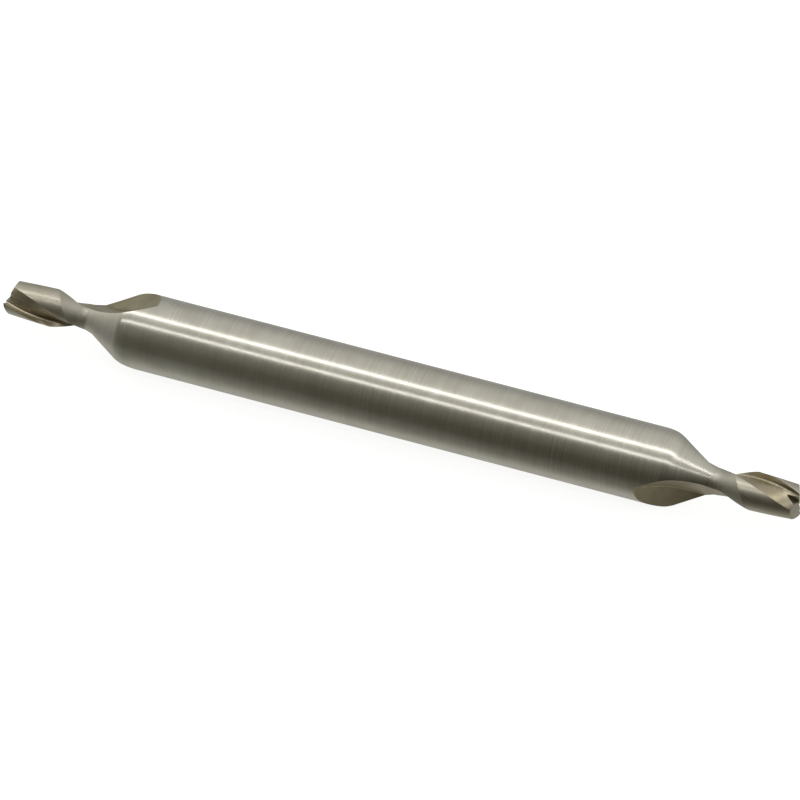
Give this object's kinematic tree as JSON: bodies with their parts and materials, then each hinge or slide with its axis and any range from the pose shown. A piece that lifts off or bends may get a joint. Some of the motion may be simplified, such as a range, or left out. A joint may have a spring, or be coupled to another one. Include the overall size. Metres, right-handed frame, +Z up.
{
  "type": "square end mill",
  "caption": "Square end mill with a plain round shank and, on each end, a slim neck and a short helical fluted cutter.",
  "frame": {"origin": "middle of the shank, on its axis", "axes": "+X along the tool's axis toward one cutting end, +Z up"},
  "size_m": [0.0508, 0.0048, 0.0048],
  "materials": {
    "high_speed_steel": "bright, fine ground"
  },
  "bodies": {
    "root": {"end_mill": "high_speed_steel"}
  },
  "joints": []
}
